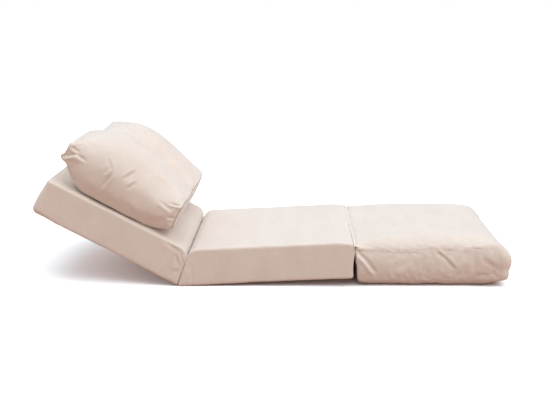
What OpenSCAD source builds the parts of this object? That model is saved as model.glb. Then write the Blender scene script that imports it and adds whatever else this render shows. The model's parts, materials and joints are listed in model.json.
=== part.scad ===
// Flip-out floor chair bed: a seat, a backrest on ratchet hinges, a fold-out foot
// section and two loose pillows. It is drawn as it stands in use: the backrest is
// raised to its first stop and the foot section is folded out on the floor.
// Millimetres. +X runs from the backrest to the foot section, +Y to the sitter's
// left and +Z up. The origin is on the floor, below the middle of the outline.

/* [Overall] */
// Width of all three sections
width = 711; // [560:1:900]
// Length of the seat section
seat_len = 645; // [560:1:760]
// Length of the backrest section, measured from the hinge
back_len = 617; // [560:1:720]
// Length of the foot section
foot_len = 605; // [520:1:606]
// Thickness of the seat and backrest at their edges
slab_t = 135; // [124:1:146]
// Thickness of the foot section at its crown
foot_t = 168; // [150:1:172]
// Angle of the backrest above the line of the seat, as drawn
rest_recline = 30.5; // [10:0.5:45]

/* [Upholstery] */
// Height that the middle of the seat or backrest swells above its edges
slab_crown = 6; // [2:0.5:9]
// Radius of the rounded long edges of the seat and backrest
edge_r = 18; // [15:0.5:22]
// Radius of the four upright corners of a section
corner_r = 30; // [24:1:38]
// How far the sides of a section are drawn in between their corners
side_pull = 4; // [0:0.5:5]
// Thickness of the cover fabric with its backing
cover_wall = 1.8; // [1.4:0.1:2.6]
// Distance from the outside of the cover to the foam block
foam_inset = 13; // [11:0.5:16]
// Clearance between nested soft layers
soft_clear = 0.3; // [0.2:0.1:0.6]
// Height of the lower boxing seam of the foot section
low_seam_z = 22; // [16:1:30]
// Drop from the crown of the foot section to its upper boxing seam
high_seam_drop = 30; // [18:1:32]
// Outward swell of the foot section's boxing between its seams
boxing_swell = 6; // [2:0.5:9]
// How far the foot section's lower hinge-side edge is drawn back
foot_lean = 20; // [10:1:36]

/* [Recline hinge] */
// Height of the hinge axis above the underside of the slabs
pivot_h = 72; // [66:1:76]
// Distance from a side of the seat to the middle of its hinge
hinge_side = 56; // [50:1:90]
// Angle of the backrest above the line of the seat when fully raised
upright_angle = 75; // [60:1:76]
// Half of the gap left between the two covers at the hinge axis
end_gap = 2.5; // [2:0.1:4]
// Thickness of the ratchet sector and of the pawl
sector_t = 5; // [4:0.1:5.2]
// Thickness of one hinge cheek
cheek_t = 2.5; // [2:0.1:2.6]
// Radius over the tips of the ratchet teeth
tip_r = 30; // [29:0.5:32]
// Depth of a ratchet notch
notch_depth = 4.5; // [3.5:0.1:5]
// Number of raised stops, from the first to fully upright
raised_stops = 4; // [2:1:4]
// Radius of the main hinge rivet
pivot_r = 5; // [4:0.1:6]
// Radius of the pawl's rivet
pawl_pin_r = 3; // [2:0.1:3.4]
// Radius of the post that holds the pawl spring
post_r = 2; // [1.5:0.1:2.4]
// Radial clearance of a piece that turns on a rivet
run_clear = 0.08; // [0.05:0.01:0.1]
// Side clearance between hinge plates
plate_clear = 0.3; // [0.2:0.05:0.4]

/* [Frame] */
// Outer diameter of the bent side tube
tube_d = 19; // [18.6:0.1:22]
// Outer diameter of the cross tubes
cross_d = 16; // [12:0.5:18]
// Wall of both kinds of tube
tube_wall = 1.5; // [1:0.1:1.5]
// Centreline radius of the tube bends
bend_r = 50; // [35:1:70]
// Distance from the end of a foam block's section to the frame's end bar
frame_end = 70; // [50:1:110]
// Number of cross tubes in the seat and in the backrest
cross_count = 2; // [1:1:4]
// Radius of the rivets that hold the hinge tongues in the tubes
socket_rivet_r = 2.5; // [2:0.1:3]

/* [Pillows] */
// Length of a pillow, along the slope
pillow_len = 480; // [420:1:520]
// Gap between the two pillows
pillow_gap = 7.5; // [4:0.5:40]
// Thickness of a pillow where it is fullest, before its weight presses it flat below
pillow_t = 263; // [200:1:270]
// How far a pillow's underside is pressed flat
pillow_press = 27; // [4:1:40]
// Height of the end panel at a pillow's lower end
pillow_low_end_t = 132; // [80:1:140]
// Height of the end panel at a pillow's upper end
pillow_high_end_t = 76; // [60:1:120]
// How much higher a pillow's upper end stands off the backrest than its lower end
pillow_lift = 25; // [0:1:40]
// Distance from the hinge axis to the lower end of the pillows
pillow_from_hinge = 106; // [86:1:112]

/* [Zips] */
// Length of the zips on the three sections
zip_len = 460; // [300:10:520]
// Length of the zip on a pillow
pillow_zip_len = 240; // [160:10:280]
// Width of a zip, with both tapes
zip_w = 26; // [22:1:30]

/* [Hidden] */
$fn = 48;

fabric_colour = [0.87, 0.79, 0.75];
lining_colour = [0.95, 0.94, 0.92];
foam_colour = [0.96, 0.9, 0.72];
steel_colour = [0.62, 0.63, 0.65];
zip_colour = [0.8, 0.73, 0.69];

// The seat is tipped up at its front by the thicker foot section.
seat_tilt = asin((foot_t - slab_t) / seat_len);
slope = rest_recline - seat_tilt;
half_open = upright_angle / 2;
seat_back_gap = 3;
fold_rise = 4;
fold_x = seat_len * cos(seat_tilt) + seat_back_gap;
fold_z = foot_t + fold_rise;
foot_x = fold_x + seat_back_gap;
back_reach = (back_len - edge_r) * cos(slope) + (pivot_h - edge_r) * sin(slope)
    + edge_r + pivot_h * sin(seat_tilt);
origin_x = (foot_x + foot_len - back_reach) / 2;

hinge_y = width / 2 - hinge_side;
plate_in = sector_t / 2 + plate_clear;
plate_out = plate_in + cheek_t;
stack_half = plate_out + 3.5;
slot_r = tip_r + 13;
tongue_start = slot_r + 17;
tongue_len = 48;
tongue_half = 5.5;
rivet_at = tongue_start + tongue_len / 2;
frame_from = tongue_start - 1;
lean_reach = 150;
weld_gap = 0.3;
seam_pinch = 3;
seam_roll = 6;
floor_overlap = 0.5;
overcut = 1;
foot_corner_r = corner_r + 5;
foot_foam_ease = 6;
// How far the foot section's panels are drawn in at the floor and under the crown.
floor_draw = 26;
crown_draw = 40;
crown_flat = 0.22;
gusset_ease = 4;
gusset_dip = 8;
gusset_rise = 6;
pillow_w = width / 2 - pillow_gap;
// Share of a pillow's thickness below its seam plane
under_share = 0.488;
// Place of a pillow's crest, from -1 at its lower end to 1 at its upper end
fullest = 0.3;
pillow_end_swell = 4;
strip_reach = 42;
strip_side = 20;
zip_from_end = 70;

// Polar point in the plane of the hinge.
function polar(r, a) = [r * cos(a), r * sin(a)];
// Smooth fall from 1 at t = 0 to 0 at t = 1.
function fall(t) = let (c = max(0, min(1, t))) 1 - c * c * (3 - 2 * c);
function rows(list) = [for (row = list) each row];

// Closed loop round a rectangle with rounded corners, drawn in by pull between them.
function loop(hx, hy, r, pull, arcs, mids) = [
    for (q = [0:3])
        let (cx = (q == 0 || q == 3) ? hx - r : r - hx, cy = q < 2 ? hy - r : r - hy,
            a1 = 90 * q + 90, b = (q % 2 == 0) ? hx - r : hy - r)
        each concat(
            [for (i = [0:arcs]) [cx, cy] + polar(r, 90 * q + 90 * i / arcs)],
            [for (i = [1:mids]) let (s = i / (mids + 1))
                [cx, cy] + polar(r - pull * sin(180 * s), a1) + polar(2 * b * s, a1 + 90)])];

// Faces of a skin over rings of n points, closed by a middle point at each end.
function skin_faces(n, rings) = let (low = n * rings, high = low + 1) concat(
    [for (i = [0:n - 1]) [low, i, (i + 1) % n]],
    [for (j = [0:rings - 2], i = [0:n - 1]) let (k = (i + 1) % n)
        each [[j * n + i, (j + 1) * n + i, (j + 1) * n + k], [j * n + i, (j + 1) * n + k, j * n + k]]],
    [for (i = [0:n - 1]) [high, (rings - 1) * n + (i + 1) % n, (rings - 1) * n + i]]);

module skin(rings, low, high) {
    n = len(rings[0]);
    polyhedron(concat(rows(rings), [low, high]), skin_faces(n, len(rings)), convexity = 6);
}

// A crowned slab, len long from x = 0, whose end at x = 0 leans back above the hinge.
// inset shrinks it on every side, for the layers inside.
module soft_slab(len, inset, arcs, mids, tops) {
    hx = len / 2 - end_gap / 2 - inset * 1.15;
    mx = len / 2 + end_gap / 2 + inset * 0.15;
    hy = width / 2 - inset;
    r = edge_r - inset;
    low = inset;
    high = slab_t - inset;
    k = 1 - cos(45);
    function lean(z) = max(0, z - pivot_h) * tan(half_open);
    function place(p, z) = let (d = p[0] + mx)
        [d + lean(z) * fall((d - end_gap) / lean_reach), p[1], z];
    function ring(z, in, s = 1) = [for (p = loop(hx - in, hy - in, corner_r - inset - in * 0.4,
        side_pull, arcs, mids)) place(p * s, z)];
    function crown(s) = slab_crown * (1 - pow(s, 2.5));
    skin(concat(
        [ring(low, r), ring(low + k * r, k * r), ring(low + r, 0), ring(pivot_h, 0),
            ring(high - r, 0), ring(high - k * r, k * r), ring(high, r)],
        [for (i = [1:tops]) let (s = 1 - i / (tops + 0.6)) ring(high + crown(s), r, s)]),
        place([0, 0], low), place([0, 0], high + slab_crown));
}

// Straight-sided block inside a slab, between two heights.
module foam_block(len, inset, low, high) {
    function back(z) = end_gap + inset + max(0, z - pivot_h) * tan(half_open);
    mid = min(max(pivot_h, low), high);
    along_y(width - 2 * inset)
        polygon([[back(low), low], [len - inset, low], [len - inset, high],
            [back(high), high], [back(mid), mid]]);
}

module along_y(span) {
    rotate([90, 0, 0]) linear_extrude(height = span, center = true) children();
}

module bar_y(r, from, to, x, z) {
    translate([x, to, z]) rotate([90, 0, 0]) cylinder(r = r, h = to - from);
}

// Frames of reference of the moving sections.
module in_seat() {
    translate([-origin_x, 0, 0]) rotate([0, -seat_tilt, 0]) children();
}

module in_back() {
    in_seat() translate([0, 0, pivot_h]) rotate([0, rest_recline, 0])
        translate([0, 0, -pivot_h]) children();
}

// The backrest's soft parts and frame are the seat's, turned to run the other way.
module in_back_turned() {
    in_back() mirror([1, 0, 0]) children();
}

module in_foot() {
    translate([foot_x - origin_x, 0, 0]) children();
}

module in_hinge(side) {
    translate([0, side * hinge_y, pivot_h]) children();
}

// Bent tube frame
module u_tube(len, r) {
    bar_x = len - foam_inset - frame_end;
    for (side = [-1, 1])
        translate([frame_from, side * hinge_y, pivot_h]) rotate([0, 90, 0])
            tube(r, bar_x - bend_r - frame_from);
    for (side = [-1, 1])
        translate([bar_x - bend_r, side * (hinge_y - bend_r), pivot_h]) mirror([0, side < 0 ? 1 : 0, 0])
            rotate_extrude(angle = 90) translate([bend_r, 0]) tube_section(r);
    translate([bar_x, hinge_y - bend_r, pivot_h]) rotate([90, 0, 0])
        tube(r, 2 * (hinge_y - bend_r));
}

module tube_section(r) {
    difference() {
        circle(r = r);
        if (r < tube_d) circle(r = r - tube_wall);
    }
}

module tube(r, length) {
    linear_extrude(height = length) tube_section(r);
}

module frame_tube(len) {
    difference() {
        u_tube(len, tube_d / 2);
        for (side = [-1, 1])
            bar_y(socket_rivet_r + run_clear, side * hinge_y - tube_d, side * hinge_y + tube_d,
                rivet_at, pivot_h);
    }
}

// Solid bars in the frame's shape, for the groove that the foam has for it.
module frame_groove(len) {
    r = tube_d / 2 + soft_clear;
    bar_x = len - foam_inset - frame_end;
    for (side = [-1, 1])
        translate([frame_from - overcut, side * hinge_y, pivot_h]) rotate([0, 90, 0])
            cylinder(r = r, h = bar_x - bend_r - frame_from + overcut);
    for (side = [-1, 1])
        translate([bar_x - bend_r, side * (hinge_y - bend_r), pivot_h]) mirror([0, side < 0 ? 1 : 0, 0])
            rotate_extrude(angle = 90) translate([bend_r, 0]) circle(r = r);
    bar_y(r, bend_r - hinge_y, hinge_y - bend_r, bar_x, pivot_h);
    for (x = cross_places(len))
        bar_y(cross_d / 2 + soft_clear, -hinge_y, hinge_y, x, pivot_h);
    for (side = [-1, 1]) {
        translate([-overcut, side * hinge_y - stack_half - overcut, pivot_h - slot_r])
            cube([slot_r + overcut * 4, 2 * (stack_half + overcut), 2 * slot_r]);
        translate([0, side * hinge_y - stack_half - overcut, pivot_h - tip_r])
            cube([tongue_start, 2 * (stack_half + overcut), 2 * tip_r]);
        bar_y(socket_rivet_r * 2 + overcut, side * hinge_y - tube_d / 2 - 3,
            side * hinge_y + tube_d / 2 + 3, rivet_at, pivot_h);
    }
}

function cross_places(len) = let (span = len - foam_inset - frame_end - frame_from)
    [for (i = [1:cross_count]) frame_from + span * i / (cross_count + 1)];

module cross_tubes(len) {
    reach = hinge_y - tube_d / 2;
    for (x = cross_places(len))
        difference() {
            translate([x, hinge_y, pivot_h]) rotate([90, 0, 0])
                tube(cross_d / 2, 2 * hinge_y);
            for (side = [-1, 1])
                translate([x - cross_d, side * hinge_y, pivot_h]) rotate([0, 90, 0])
                    cylinder(r = tube_d / 2 + weld_gap, h = 2 * cross_d);
            for (side = [-1, 1])
                translate([x - cross_d, side * hinge_y - (side < 0 ? tube_d : 0), pivot_h - cross_d])
                    cube([2 * cross_d, tube_d, 2 * cross_d]);
        }
}

// Slabs
module slab_cover(len) {
    difference() {
        soft_slab(len, 0, 4, 5, 4);
        soft_slab(len, cover_wall, 2, 2, 2);
        hinge_mouths();
    }
}

module slab_wadding(len) {
    difference() {
        soft_slab(len, cover_wall + soft_clear, 2, 2, 2);
        foam_block(len, foam_inset - soft_clear, foam_inset - soft_clear,
            slab_t - foam_inset + soft_clear);
        hinge_mouths();
    }
}

// Openings in the hinge end of a slab, through which the hinge plates pass.
module hinge_mouths() {
    for (side = [-1, 1])
        translate([-overcut, side * hinge_y - stack_half - overcut, pivot_h - slot_r])
            cube([slot_r + overcut * 4, 2 * (stack_half + overcut), 2 * slot_r]);
}

module slab_foam(len, low, high) {
    difference() {
        foam_block(len, foam_inset, low, high);
        frame_groove(len);
    }
}

module zip(length) {
    chain_w = 6;
    tape_w = (zip_w - chain_w) / 2 - 0.2;
    for (side = [-1, 1])
        translate([0, side * (chain_w / 2 + 0.2 + tape_w / 2), 0.4])
            cube([length, tape_w, 0.8], center = true);
    translate([0, 0, 0.8]) cube([length, chain_w, 1.6], center = true);
    translate([length / 2 - 16, 0, 3]) slider();
}

module slider() {
    difference() {
        cube([11, 8, 2.6], center = true);
        translate([7, 0, 0]) cylinder(r = 3, h = 4, center = true);
    }
    translate([-14, 0, 1.9]) difference() {
        cube([22, 5, 1], center = true);
        translate([-7, 0, 0]) cylinder(r = 1.5, h = 3, center = true);
    }
}

// Hinge
pitch = (upright_angle - rest_recline) / (raised_stops - 1);
stops = concat([seat_tilt], [for (i = [0:raised_stops - 1]) rest_recline + i * pitch]);
root_r = tip_r - notch_depth;
tooth_a = -35;
bite_gap = 0.4;
lift_gap = 0.6;
pawl_arm = 26;
seated_r = root_r + bite_gap;
pawl_pin_far = norm([seated_r, pawl_arm]);
pawl_pin = polar(pawl_pin_far, tooth_a + atan(pawl_arm / seated_r));
lifted_r = tip_r + lift_gap;
// Turn of the pawl from its drawn, lifted place to the bottom of a notch.
pawl_swing = acos(-pawl_arm / pawl_pin_far) - acos((pow(lifted_r, 2) - pow(seated_r, 2)
    - 2 * pow(pawl_arm, 2)) / (2 * pawl_pin_far * pawl_arm));
post_at = [51, -6];
leaf_t = 0.8;

module plate(t, y = 0) {
    translate([0, y, 0]) along_y(t) children();
}

module notch(a) {
    ramp = min(11.5, pitch - 2.5);
    polygon([polar(root_r, a - 3), polar(root_r, a + 3.6), polar(tip_r + overcut, a + ramp),
        polar(tip_r + 2, a + ramp / 2), polar(tip_r + overcut, a - 3)]);
}

module ratchet_sector(side) {
    tongue_h = 7;
    in_back() in_hinge(side) difference() {
        plate(sector_t) difference() {
            union() {
                circle(r = tip_r);
                polygon([[0, tip_r * 0.8], [-slot_r, tongue_h + 3], [1 - tongue_start, tongue_h],
                    [-tongue_start - tongue_len, tongue_h], [-tongue_start - tongue_len, -tongue_h],
                    [1 - tongue_start, -tongue_h], [-slot_r, -tongue_h - 3], [0, -tip_r * 0.8]]);
            }
            for (a = stops) notch(tooth_a + a);
        }
        bar_y(pivot_r + run_clear, -sector_t, sector_t, 0, 0);
        bar_y(socket_rivet_r + run_clear, -sector_t, sector_t, -rivet_at, 0);
    }
}

module pawl(side) {
    boss_r = pawl_pin_far - tip_r - lift_gap;
    in_seat() in_hinge(side) translate([pawl_pin[0], 0, pawl_pin[1]]) rotate([0, -pawl_swing, 0])
        translate([-pawl_pin[0], 0, -pawl_pin[1]]) difference() {
            plate(sector_t) {
                translate(pawl_pin) circle(r = boss_r);
                polygon([polar(seated_r, tooth_a - 1.8), polar(seated_r, tooth_a + 2.2),
                    polar(tip_r + 0.9, tooth_a + 9.6), polar(tip_r + 1.2, tooth_a + 20),
                    polar(tip_r + 1.4, tooth_a + 34), pawl_pin,
                    polar(pawl_pin_far + boss_r * 0.85, tooth_a + 42),
                    polar(tip_r + 9.5, tooth_a + 20), polar(tip_r + 7.5, tooth_a),
                    polar(tip_r + 6, tooth_a - 1.8)]);
            }
            bar_y(pawl_pin_r + run_clear, -sector_t, sector_t, pawl_pin[0], pawl_pin[1]);
        }
}

module hinge_cheeks(side) {
    in_seat() in_hinge(side) for (face = [-1, 1]) difference() {
        plate(cheek_t, face * (plate_in + cheek_t / 2)) {
            circle(r = 22);
            polygon([[0, 22], [pawl_pin[0] + 4, 17], [tongue_start, tongue_half],
                [tongue_start + tongue_len, tongue_half], [tongue_start + tongue_len, -tongue_half],
                [tongue_start, -tongue_half], [post_at[0] - 5, -16], [0, -22]]);
        }
        bar_y(pivot_r + run_clear, -stack_half, stack_half, 0, 0);
        bar_y(pawl_pin_r + run_clear, -stack_half, stack_half, pawl_pin[0], pawl_pin[1]);
        bar_y(post_r + run_clear, -stack_half, stack_half, post_at[0], post_at[1]);
        bar_y(socket_rivet_r + run_clear, -stack_half, stack_half, rivet_at, 0);
    }
}

// A rivet across the hinge, with a head outside each cheek.
module rivet(r, half, head_r, head_t, x, z) {
    bar_y(r, -half - head_t, half + head_t, x, z);
    for (face = [-1, 1])
        bar_y(head_r, face < 0 ? -half - head_t : half, face < 0 ? -half : half + head_t, x, z);
}

module pivot_rivet(side) {
    in_seat() in_hinge(side) rivet(pivot_r, plate_out + 0.1, pivot_r + 4, 2.5, 0, 0);
}

module pawl_rivets(side) {
    in_seat() in_hinge(side) {
        rivet(pawl_pin_r, plate_out + 0.1, pawl_pin_r + 2, 2, pawl_pin[0], pawl_pin[1]);
        rivet(post_r, plate_out + 0.1, post_r + 1.5, 1.5, post_at[0], post_at[1]);
    }
}

module socket_rivets(direction) {
    for (side = [-1, 1])
        in_hinge(side) rivet(socket_rivet_r, tube_d / 2 + 0.1, socket_rivet_r + 1.5, 1.5,
            direction * rivet_at, 0);
}

// Leaf spring bent round the post, with its free end behind the pawl's tooth.
module pawl_spring(side) {
    top = post_at + [-post_r - leaf_t, 2.5];
    bow = post_at + [-2.5, -9.5];
    tip = polar(tip_r + 12.6, tooth_a + 14.5);
    steps = 10;
    function along(t) = (1 - t) * (1 - t) * top + 2 * t * (1 - t) * bow + t * t * tip;
    function across(t) = let (v = 2 * (1 - t) * (bow - top) + 2 * t * (tip - bow))
        [-v[1], v[0]] / norm(v) * leaf_t / 2;
    in_seat() in_hinge(side) plate(sector_t - 2 * plate_clear)
        polygon(concat([for (i = [0:steps]) along(i / steps) + across(i / steps)],
            [for (i = [steps:-1:0]) along(i / steps) - across(i / steps)]));
}

// Fold of foam and fabric that fills the hinge's two wedges.
module recline_gusset() {
    gap = soft_clear + 0.2;
    low = edge_r + gusset_ease / 2;
    high = slab_t - edge_r - gusset_ease;
    x = end_gap - gap;
    lean_x = x + (high - pivot_h) * tan(half_open);
    function turned(p) = let (q = [-p[0], p[1] - pivot_h])
        [q[0] * cos(rest_recline) + q[1] * sin(rest_recline),
            pivot_h - q[0] * sin(rest_recline) + q[1] * cos(rest_recline)];
    in_seat() difference() {
        along_y(width - 2 * corner_r - gusset_ease)
            polygon([[x, low], [x, pivot_h], [lean_x, high],
                (([lean_x, high] + turned([lean_x, high])) / 2 - [0, gusset_dip]),
                turned([lean_x, high]), turned([x, pivot_h]), turned([x, low]),
                (([x, low] + turned([x, low])) / 2 + [0, gusset_rise])]);
        for (side = [-1, 1])
            bar_y(slot_r + overcut, side * hinge_y - stack_half - overcut,
                side * hinge_y + stack_half + overcut, 0, pivot_h);
    }
}

// Foot section
module soft_foot(inset, arcs, mids, tops) {
    hx = foot_len / 2 - boxing_swell - inset;
    hy = width / 2 - boxing_swell - inset;
    high_seam = foot_t - high_seam_drop;
    function lean(z) = foot_lean * (high_seam - z) / (high_seam - low_seam_z);
    function place(p, z) = let (d = p[0] + foot_len / 2)
        [d + max(0, lean(z)) * fall((d - boxing_swell) / lean_reach), p[1], z];
    function ring(z, in, s = 1) = [for (p = loop(hx - in, hy - in, foot_corner_r - in * 0.4,
        side_pull, arcs, mids)) place(p * s, z)];
    outer = inset == 0;
    low = outer ? -floor_overlap : inset;
    drop = low_seam_z - inset;
    rise = high_seam_drop - inset;
    mid = (low_seam_z + high_seam) / 2;
    pinch = outer ? seam_pinch : 2;
    // Panels: share of the height outside the seam, and share of the draw-in there.
    skin(concat(
        [ring(low, floor_draw)],
        [for (p = [[0.25, 0.42], [0.6, 0.19]]) ring(inset + drop * p[0], floor_draw * p[1])],
        [ring(low_seam_z, pinch)],
        outer ? [ring(low_seam_z + seam_roll, 0.5), ring(mid, -boxing_swell),
            ring(high_seam - seam_roll, 0.5)] : [ring(mid, 0)],
        [ring(high_seam, pinch)],
        [for (p = [[0.24, 0.15], [0.56, 0.4], [1 - crown_flat, 1]])
            ring(high_seam + rise * p[0], crown_draw * p[1])],
        [for (i = [1:tops]) let (s = 1 - i / (tops + 0.6))
            ring(high_seam + rise * (1 - crown_flat * pow(s, 2.5)), crown_draw, s)]),
        place([0, 0], low), place([0, 0], high_seam + rise));
}

module foot_block(inset) {
    side = boxing_swell + foam_inset + foot_foam_ease + inset;
    low = foam_inset + inset;
    translate([side + foot_lean, side - width / 2, low])
        cube([foot_len - 2 * side - foot_lean, width - 2 * side,
            foot_t - high_seam_drop - inset - low]);
}

// Pillows
module soft_pillow(inset, around, along) {
    half_l = pillow_len / 2 - pillow_end_swell - inset;
    half_w = pillow_w / 2 - inset;
    under = pillow_t * under_share - inset;
    over = pillow_t * (1 - under_share) - inset;
    flat = under - pillow_press;
    // Half heights above and below the seam plane at t, from -1 at the lower end to 1.
    function end_h(t) = (pillow_low_end_t * (1 - t) + pillow_high_end_t * (1 + t)) / 4 - inset;
    function top(t) = let (d = t - fullest)
        end_h(t) + (over - end_h(t)) * (1 - pow(abs(d) / (1 - sign(d) * fullest), 2.3));
    function lift(t) = pillow_lift * pow((t + 1) / 2, 2);
    function bottom(t) = end_h(t) + (under + lift(t) - end_h(t)) * (1 - pow(abs(t), 2.9));
    function side(t) = half_w - 5 * pow(abs(t), 3) * sin(90 * abs(t)) - side_pull * (1 - abs(t)) * 0.2;
    // The lower half is the boxier one, because the pillow lies on it.
    function power(t, a) = (a < 180 ? 2.2 : 3) + 1.7 * pow(abs(t), 6);
    function bend(c, n) = sign(c) * pow(abs(c), 2 / n);
    function section(t, s) = [for (i = [0:around - 1]) let (a = 360 * i / around, n = power(t, a),
        w = bend(sin(a), n), h = (w > 0 ? top(t) : bottom(t)) * w * s + lift(t))
        [half_l * t + (1 - s) * (t < 0 ? -6 : 6), side(t) * bend(cos(a), n) * s, max(-flat, h)]];
    stations = [for (i = [0:along]) sin(90 * (2 * i / along - 1) * 0.92) / sin(82.8)];
    skin(concat([section(-1, 0.55)], [for (t = stations) section(t, 1)], [section(1, 0.55)]),
        [-half_l - pillow_end_swell, 0, 0], [half_l + pillow_end_swell, 0, pillow_lift]);
}

module in_pillow(side) {
    rests_at = slab_t + slab_crown + soft_clear;
    in_back_turned() translate([pillow_from_hinge + pillow_len / 2, side * width / 4,
        rests_at + pillow_t * under_share - pillow_press]) children();
}

module pillow_cover(side) {
    in_pillow(side) difference() {
        soft_pillow(0, 28, 16);
        soft_pillow(cover_wall, 16, 8);
    }
}

module pillow_fill(side) {
    in_pillow(side) soft_pillow(cover_wall + soft_clear, 16, 8);
}

module pillow_zip(side) {
    in_pillow(side) translate([pillow_len / 2 + soft_clear, 0, pillow_lift])
        rotate([0, 90, 0]) rotate([0, 0, 90]) zip(pillow_zip_len);
}

// Nodes
module seat_frame() { color(steel_colour) in_seat() frame_tube(seat_len); }
module seat_cross_tubes() { color(steel_colour) in_seat() cross_tubes(seat_len); }
module seat_foam_lower() {
    color(foam_colour) in_seat() slab_foam(seat_len, foam_inset, pivot_h - soft_clear / 2);
}
module seat_foam_upper() {
    color(foam_colour) in_seat()
        slab_foam(seat_len, pivot_h + soft_clear / 2, slab_t - foam_inset);
}
module seat_wadding() { color(lining_colour) in_seat() slab_wadding(seat_len); }
module seat_cover() { color(fabric_colour) in_seat() slab_cover(seat_len); }
module seat_zip() {
    color(zip_colour) in_seat() translate([seat_len - zip_from_end, 0, -soft_clear]) rotate([180, 0, 90])
        zip(zip_len);
}
module seat_socket_rivets() { color(steel_colour) in_seat() socket_rivets(1); }
module hinge_cheeks_left() { color(steel_colour) hinge_cheeks(1); }
module hinge_cheeks_right() { color(steel_colour) hinge_cheeks(-1); }
module pivot_rivet_left() { color(steel_colour) pivot_rivet(1); }
module pivot_rivet_right() { color(steel_colour) pivot_rivet(-1); }
module pawl_rivets_left() { color(steel_colour) pawl_rivets(1); }
module pawl_rivets_right() { color(steel_colour) pawl_rivets(-1); }
module pawl_spring_left() { color(steel_colour) pawl_spring(1); }
module pawl_spring_right() { color(steel_colour) pawl_spring(-1); }
module gusset() { color(fabric_colour) recline_gusset(); }
module pawl_left() { color(steel_colour) pawl(1); }
module pawl_right() { color(steel_colour) pawl(-1); }
module ratchet_sector_left() { color(steel_colour) ratchet_sector(1); }
module ratchet_sector_right() { color(steel_colour) ratchet_sector(-1); }
module back_frame() { color(steel_colour) in_back_turned() frame_tube(back_len); }
module back_cross_tubes() { color(steel_colour) in_back_turned() cross_tubes(back_len); }
module back_foam_front() {
    color(foam_colour) in_back_turned()
        slab_foam(back_len, pivot_h + soft_clear / 2, slab_t - foam_inset);
}
module back_foam_rear() {
    color(foam_colour) in_back_turned() slab_foam(back_len, foam_inset, pivot_h - soft_clear / 2);
}
module back_wadding() { color(lining_colour) in_back_turned() slab_wadding(back_len); }
module back_cover() { color(fabric_colour) in_back_turned() slab_cover(back_len); }
module back_zip() {
    color(zip_colour) in_back_turned() translate([back_len - zip_from_end, 0, -soft_clear])
        rotate([180, 0, 90]) zip(zip_len);
}
module back_socket_rivets() { color(steel_colour) in_back() socket_rivets(-1); }
module foot_foam() { color(foam_colour) in_foot() foot_block(0); }
module foot_wadding() {
    color(lining_colour) in_foot() difference() {
        soft_foot(cover_wall + soft_clear, 2, 2, 2);
        foot_block(-soft_clear);
    }
}
module foot_cover() {
    color(fabric_colour) in_foot() difference() {
        soft_foot(0, 4, 5, 4);
        soft_foot(cover_wall, 2, 2, 2);
        translate([-overcut, -width, -10]) cube([foot_len + 2 * overcut, 2 * width, 10]);
    }
}
module foot_zip() {
    mid_z = (low_seam_z + foot_t - high_seam_drop) / 2;
    lean_a = atan(foot_lean / (foot_t - high_seam_drop - low_seam_z));
    color(zip_colour) in_foot() translate([foot_lean / 2 + side_pull * 0.4 - soft_clear, 0, mid_z])
        rotate([0, -90 - lean_a, 0]) rotate([0, 0, 90]) zip(zip_len);
}
module fold_strip() {
    from = [seat_len - edge_r - 4, slab_t + soft_clear + 0.4];
    seat_end = [from[0] * cos(seat_tilt) - from[1] * sin(seat_tilt),
        from[0] * sin(seat_tilt) + from[1] * cos(seat_tilt)];
    foot_end = [foot_x + boxing_swell + strip_reach, foot_t - high_seam_drop * crown_flat + soft_clear + 0.4];
    cloth = 1.5;
    color(fabric_colour) translate([-origin_x, 0, 0]) along_y(width - 2 * (corner_r + strip_side))
        polygon([seat_end, foot_end, foot_end + [0, cloth], seat_end + [0, cloth]]);
}
module pillow_cover_left() { color(fabric_colour) pillow_cover(1); }
module pillow_fill_left() { color(lining_colour) pillow_fill(1); }
module pillow_zip_left() { color(zip_colour) pillow_zip(1); }
module pillow_cover_right() { color(fabric_colour) pillow_cover(-1); }
module pillow_fill_right() { color(lining_colour) pillow_fill(-1); }
module pillow_zip_right() { color(zip_colour) pillow_zip(-1); }

echo(pivot = [-origin_x - pivot_h * sin(seat_tilt), 0, pivot_h * cos(seat_tilt)]);
echo(fold = [fold_x - origin_x, 0, fold_z]);
echo(slope = slope, seat_tilt = seat_tilt, pawl_swing = pawl_swing, pawl_pin = pawl_pin);
echo(hinge_y = hinge_y, foot_mid = foot_x + foot_len / 2 - origin_x);

seat_frame();
seat_cross_tubes();
seat_foam_lower();
seat_foam_upper();
seat_wadding();
seat_cover();
seat_zip();
seat_socket_rivets();
hinge_cheeks_left();
hinge_cheeks_right();
pivot_rivet_left();
pivot_rivet_right();
pawl_rivets_left();
pawl_rivets_right();
pawl_spring_left();
pawl_spring_right();
gusset();  // recline_gusset
pawl_left();
pawl_right();
ratchet_sector_left();
ratchet_sector_right();
back_frame();
back_cross_tubes();
back_foam_front();
back_foam_rear();
back_wadding();
back_cover();
back_zip();
back_socket_rivets();
foot_foam();
foot_wadding();
foot_cover();
foot_zip();
fold_strip();
pillow_cover_left();
pillow_fill_left();
pillow_zip_left();
pillow_cover_right();
pillow_fill_right();
pillow_zip_right();
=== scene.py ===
# %% [markdown]
# # A flip-out floor chair in brushed microsuede
#
# The chair has three padded sections in a row: a backrest raised on two ratchet hinges, a
# seat, and a boxed foot section folded out on the floor. Two plump pillows lie on the
# backrest. The hard parts come from the CAD frame, and the sizes below are the ones it was
# drawn with. This lesson dresses the frame in stuffed covers, seams and fabric, then lights
# it like a plain product picture.

# %% Load the CAD frame
import json
import math
import bmesh
import bpy
import numpy as np
from mathutils import Matrix, Vector, noise as soft_noise


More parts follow.
